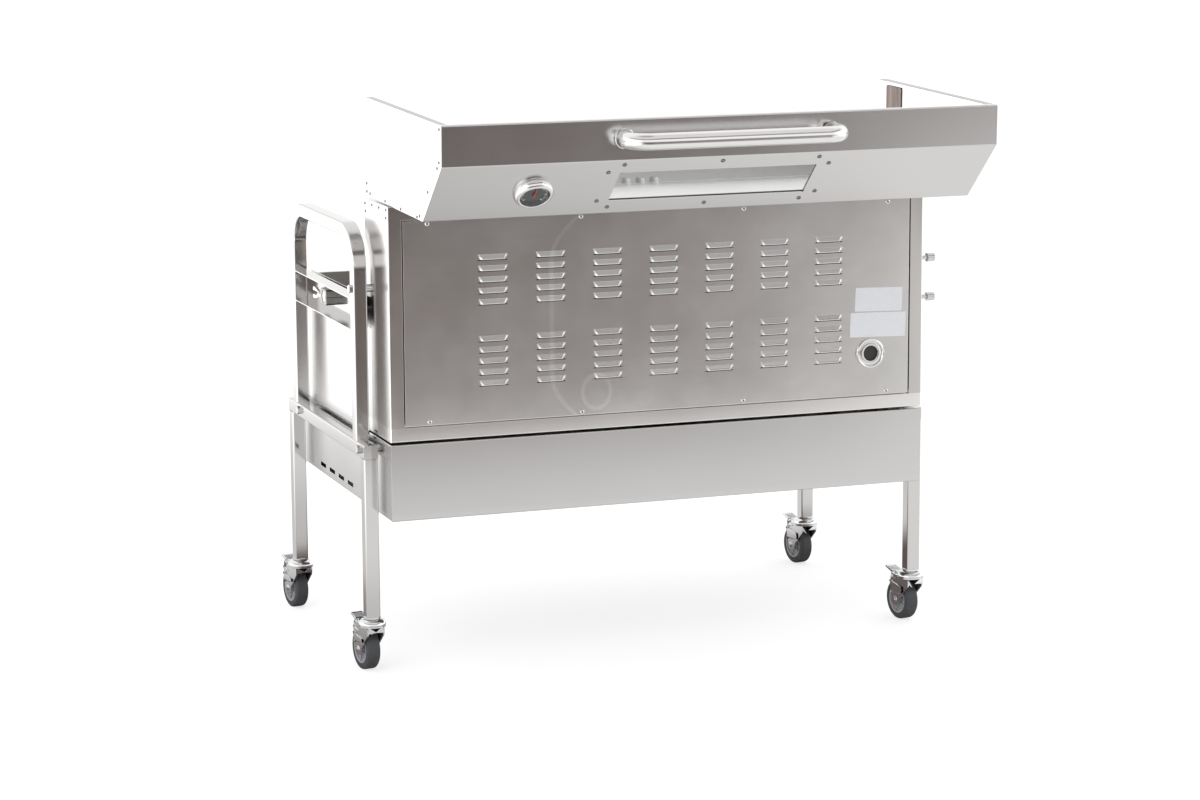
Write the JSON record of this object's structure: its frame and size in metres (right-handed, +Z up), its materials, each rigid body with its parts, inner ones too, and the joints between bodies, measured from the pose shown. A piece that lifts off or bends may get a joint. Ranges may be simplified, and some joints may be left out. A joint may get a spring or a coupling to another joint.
{
  "type": "suckling pig rotisserie",
  "caption": "Gas rotisserie for whole roasts: a louvred rear housing, hinged hood with window, open trough, driven spit and drip tray on a castor trolley.",
  "frame": {"origin": "on the floor, midway between the four legs", "axes": "+X along the spit towards its motor, +Y from the louvred rear towards the cook, +Z up"},
  "size_m": [1.1726, 1.0147, 1.0029],
  "materials": {
    "stainless": "brushed stainless sheet",
    "frame_steel": "brushed stainless tube",
    "bright_steel": "polished steel",
    "zinc": "bright zinc plate",
    "brass": "plain brass",
    "ceramic": "fired ceramic",
    "black_plastic": "black heat-proof plastic",
    "plate_white": "blank white plate",
    "dial_dark": "dark dial with plain pale ticks",
    "pointer_red": "painted pointer",
    "glass": "clear tempered glass",
    "tyre": "grey rubber tread",
    "gear_steel": "cut steel"
  },
  "bodies": {
    "cabinet": {"trolley_side_frames": "frame_steel", "push_loops": "frame_steel", "frame_bolts": "bright_steel", "lower_box": "stainless", "front_panel": "stainless", "trough": "stainless", "trough_ends": "stainless", "end_channels": "frame_steel", "rear_housing": "stainless", "chamber_back_wall": "stainless", "louvred_rear_panel": "stainless", "housing_fasteners": "bright_steel", "blank_plates": "plate_white", "inlet_collar": "bright_steel", "inlet_fitting": "black_plastic", "burner_boxes": "stainless", "ceramic_tiles": "ceramic", "gas_manifold": "brass", "gas_pipes": "brass", "igniter": "ceramic", "spit_bearing": "bright_steel", "motor_bracket": "frame_steel", "gear_case": "gear_steel", "motor_can": "gear_steel", "hinge_leaf_fixed": "bright_steel", "castor_stems": "zinc"},
    "hood": {"hood_shell": "stainless", "hood_side_left": "stainless", "hood_side_right": "stainless", "hood_fasteners": "bright_steel", "window_glass": "glass", "window_retainer": "stainless", "thermometer_case": "bright_steel", "thermometer_dial": "dial_dark", "thermometer_lens": "glass", "hood_handle": "bright_steel", "hinge_leaf_hood": "bright_steel"},
    "pointer": {"thermometer_pointer": "pointer_red"},
    "spit": {"spit_rod": "bright_steel", "drive_gear": "gear_steel"},
    "meat_fork_left": {"meat_fork_left": "bright_steel"},
    "meat_fork_right": {"meat_fork_right": "bright_steel"},
    "rotor": {"motor_rotor": "gear_steel"},
    "burner_knob_left": {"burner_knob_left": "black_plastic"},
    "burner_knob_right": {"burner_knob_right": "black_plastic"},
    "igniter_button": {"igniter_button": "black_plastic"},
    "drip_tray": {"drip_tray": "stainless"},
    "castor_fork_rear_left": {"castor_fork_rear_left": "zinc"},
    "castor_wheel_rear_left": {"castor_wheel_rear_left": "tyre"},
    "castor_pedal_rear_left": {"castor_pedal_rear_left": "zinc"},
    "castor_fork_front_left": {"castor_fork_front_left": "zinc"},
    "castor_wheel_front_left": {"castor_wheel_front_left": "tyre"},
    "castor_pedal_front_left": {"castor_pedal_front_left": "zinc"},
    "castor_fork_rear_right": {"castor_fork_rear_right": "zinc"},
    "castor_wheel_rear_right": {"castor_wheel_rear_right": "tyre"},
    "castor_pedal_rear_right": {"castor_pedal_rear_right": "zinc"},
    "castor_fork_front_right": {"castor_fork_front_right": "zinc"},
    "castor_wheel_front_right": {"castor_wheel_front_right": "tyre"},
    "castor_pedal_front_right": {"castor_pedal_front_right": "zinc"}
  },
  "joints": [
    {"name": "hood_hinge", "type": "hinge", "parent": "cabinet", "child": "hood", "pos_m": [0, -0.1749, 0.8306], "axis": [-1, 0, 0], "range_deg": [0, 181.4]},
    {"name": "pointer_turn", "type": "hinge", "parent": "hood", "child": "pointer", "pos_m": [-0.3204, -0.56633, 0.87294], "axis": [0, -0.671, -0.7414], "range_deg": [0, 270]},
    {"name": "spit_turn", "type": "hinge", "parent": "cabinet", "child": "spit", "pos_m": [0, 0.006, 0.632], "axis": [1, 0, 0], "continuous": true},
    {"name": "rotor_turn", "type": "hinge", "parent": "cabinet", "child": "rotor", "pos_m": [0.55, 0.051, 0.632], "axis": [1, 0, 0], "continuous": true},
    {"name": "fork_slide_left", "type": "slide", "parent": "spit", "child": "meat_fork_left", "axis": [1, 0, 0], "range_m": [-0.2, 0.09]},
    {"name": "fork_slide_right", "type": "slide", "parent": "spit", "child": "meat_fork_right", "axis": [1, 0, 0], "range_m": [-0.09, 0.2]},
    {"name": "knob_turn_left", "type": "hinge", "parent": "cabinet", "child": "burner_knob_left", "pos_m": [-0.42, 0.26, 0.35], "axis": [0, 1, 0], "range_deg": [0, 135]},
    {"name": "knob_turn_right", "type": "hinge", "parent": "cabinet", "child": "burner_knob_right", "pos_m": [0.42, 0.26, 0.35], "axis": [0, 1, 0], "range_deg": [0, 135]},
    {"name": "igniter_press", "type": "slide", "parent": "cabinet", "child": "igniter_button", "axis": [0, -1, 0], "range_m": [0, 0.005], "stiffness_N_per_m": 600, "springref_m": -0.002},
    {"name": "tray_slide", "type": "slide", "parent": "cabinet", "child": "drip_tray", "axis": [0, 1, 0], "range_m": [0, 0.36]},
    {"name": "swivel_rear_left", "type": "hinge", "parent": "cabinet", "child": "castor_fork_rear_left", "pos_m": [-0.5185, -0.2476, 0.084], "axis": [0, 0, 1], "continuous": true},
    {"name": "roll_rear_left", "type": "hinge", "parent": "castor_fork_rear_left", "child": "castor_wheel_rear_left", "pos_m": [-0.52226, -0.22086, 0.0375], "axis": [0.9903, 0.1392, 0], "continuous": true},
    {"name": "brake_rear_left", "type": "hinge", "parent": "castor_fork_rear_left", "child": "castor_pedal_rear_left", "pos_m": [-0.52281, -0.2169, 0.086], "axis": [-0.9903, -0.1392, 0], "range_deg": [0, 9]},
    {"name": "swivel_front_left", "type": "hinge", "parent": "cabinet", "child": "castor_fork_front_left", "pos_m": [-0.5185, 0.2476, 0.084], "axis": [0, 0, 1], "continuous": true},
    {"name": "roll_front_left", "type": "hinge", "parent": "castor_fork_front_left", "child": "castor_wheel_front_left", "pos_m": [-0.52226, 0.27434, 0.0375], "axis": [0.9903, 0.1392, 0], "continuous": true},
    {"name": "brake_front_left", "type": "hinge", "parent": "castor_fork_front_left", "child": "castor_pedal_front_left", "pos_m": [-0.52281, 0.2783, 0.086], "axis": [-0.9903, -0.1392, 0], "range_deg": [0, 9]},
    {"name": "swivel_rear_right", "type": "hinge", "parent": "cabinet", "child": "castor_fork_rear_right", "pos_m": [0.5185, -0.2476, 0.084], "axis": [0, 0, 1], "continuous": true},
    {"name": "roll_rear_right", "type": "hinge", "parent": "castor_fork_rear_right", "child": "castor_wheel_rear_right", "pos_m": [0.51474, -0.22086, 0.0375], "axis": [0.9903, 0.1392, 0], "continuous": true},
    {"name": "brake_rear_right", "type": "hinge", "parent": "castor_fork_rear_right", "child": "castor_pedal_rear_right", "pos_m": [0.51419, -0.2169, 0.086], "axis": [-0.9903, -0.1392, 0], "range_deg": [0, 9]},
    {"name": "swivel_front_right", "type": "hinge", "parent": "cabinet", "child": "castor_fork_front_right", "pos_m": [0.5185, 0.2476, 0.084], "axis": [0, 0, 1], "continuous": true},
    {"name": "roll_front_right", "type": "hinge", "parent": "castor_fork_front_right", "child": "castor_wheel_front_right", "pos_m": [0.51474, 0.27434, 0.0375], "axis": [0.9903, 0.1392, 0], "continuous": true},
    {"name": "brake_front_right", "type": "hinge", "parent": "castor_fork_front_right", "child": "castor_pedal_front_right", "pos_m": [0.51419, 0.2783, 0.086], "axis": [-0.9903, -0.1392, 0], "range_deg": [0, 9]}
  ],
  "couplings": [
    {"joint": "rotor_turn", "follows": "spit_turn", "ratio": -4}
  ]
}
